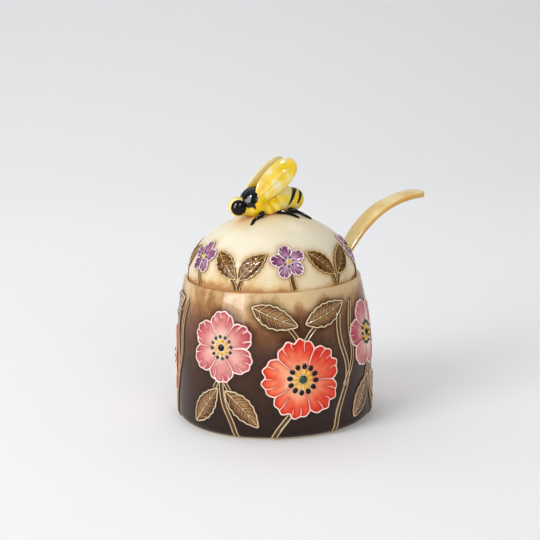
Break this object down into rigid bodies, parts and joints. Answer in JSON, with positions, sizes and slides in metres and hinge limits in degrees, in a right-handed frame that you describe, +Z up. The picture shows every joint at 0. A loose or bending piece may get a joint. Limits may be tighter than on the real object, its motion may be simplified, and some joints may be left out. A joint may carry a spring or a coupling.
{
  "type": "honey pot",
  "caption": "Round glazed honey pot with a domed lift-off lid, a bee finial, applied blossoms and leaves, and a curved serving spoon that leans through a notch in the lid.",
  "frame": {"origin": "centre of the pot's flat base, on the pot's axis", "axes": "+Z up along the pot's axis, +X towards the spoon's handle and the lid's notch, the bee looks towards -X"},
  "size_m": [0.132, 0.0936, 0.1214],
  "materials": {
    "pot_glaze": "gloss",
    "lid_glaze": "gloss",
    "spoon_glaze": "gloss",
    "bee_yellow": "gloss",
    "bee_wing": "gloss",
    "bee_black": "gloss",
    "coral_glaze": "gloss",
    "pink_glaze": "gloss",
    "mauve_glaze": "gloss",
    "leaf_glaze": "gloss"
  },
  "bodies": {
    "pot": {"pot_body": "pot_glaze", "pot_coral_blossoms": "coral_glaze", "pot_pink_blossoms": "pink_glaze", "pot_leaves": "leaf_glaze"},
    "lid": {"lid_dome": "lid_glaze", "bee_body": "bee_yellow", "bee_eyes": "bee_black", "bee_wing_left": "bee_wing", "bee_wing_right": "bee_wing", "bee_legs": "bee_black", "lid_mauve_blossoms": "mauve_glaze", "lid_leaves": "leaf_glaze"},
    "spoon": {"spoon": "spoon_glaze"}
  },
  "joints": [
    {"name": "lid_lift", "type": "slide", "parent": "pot", "child": "lid", "axis": [0, 0, 1], "range_m": [0, 0.06]},
    {"name": "spoon_draw", "type": "slide", "parent": "pot", "child": "spoon", "axis": [0.6293, 0, 0.7771], "range_m": [0, 0.034]}
  ]
}
